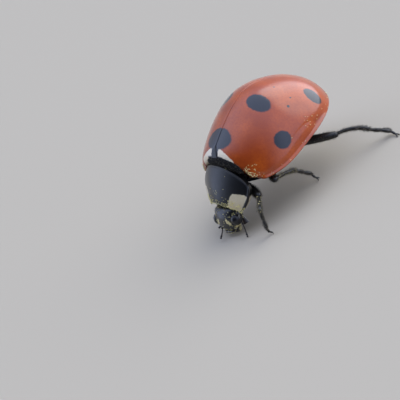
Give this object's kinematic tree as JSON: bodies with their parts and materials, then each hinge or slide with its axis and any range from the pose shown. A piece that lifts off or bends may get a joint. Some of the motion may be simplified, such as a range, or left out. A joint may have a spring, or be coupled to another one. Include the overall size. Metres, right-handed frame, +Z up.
{
  "type": "seven-spot ladybird",
  "caption": "Life-size ladybird beetle standing on its six legs with its head bent down; glossy red wing cases with black spots, black shield with a pale patch at each front corner.",
  "frame": {"origin": "on the floor, under the middle of the model's box", "axes": "+Z up, the head faces -Y, the beetle's left side is +X"},
  "size_m": [0.0082, 0.0078, 0.0045],
  "materials": {
    "wing_case": "glossy orange-red cuticle with a clear shine",
    "cuticle": "smooth shining black cuticle",
    "limb": "satin black cuticle with short hairs",
    "eye": "black faceted eye"
  },
  "bodies": {
    "root": {"abdomen_1": "cuticle", "abdomen_2": "cuticle", "abdomen_3": "cuticle", "abdomen_4": "cuticle", "abdomen_5": "cuticle", "antenna_left": "limb", "antenna_right": "limb", "elytron_left": "wing_case", "elytron_right": "wing_case", "eye_left": "eye", "eye_right": "eye", "front_claws_left": "limb", "front_claws_right": "limb", "front_coxa_left": "limb", "front_coxa_right": "limb", "front_femur_left": "limb", "front_femur_right": "limb", "front_tarsus_left": "limb", "front_tarsus_right": "limb", "front_tibia_left": "limb", "front_tibia_right": "limb", "head": "cuticle", "hind_claws_left": "limb", "hind_claws_right": "limb", "hind_coxa_left": "limb", "hind_coxa_right": "limb", "hind_femur_left": "limb", "hind_femur_right": "limb", "hind_tarsus_left": "limb", "hind_tarsus_right": "limb", "hind_tibia_left": "limb", "hind_tibia_right": "limb", "labrum": "cuticle", "mandible_left": "cuticle", "mandible_right": "cuticle", "maxillary_palp_left": "limb", "maxillary_palp_right": "limb", "mesothorax": "cuticle", "metathorax": "cuticle", "middle_claws_left": "limb", "middle_claws_right": "limb", "middle_coxa_left": "limb", "middle_coxa_right": "limb", "middle_femur_left": "limb", "middle_femur_right": "limb", "middle_tarsus_left": "limb", "middle_tarsus_right": "limb", "middle_tibia_left": "limb", "middle_tibia_right": "limb", "pronotum": "cuticle", "prosternum": "cuticle", "scutellum": "cuticle"}
  },
  "joints": []
}
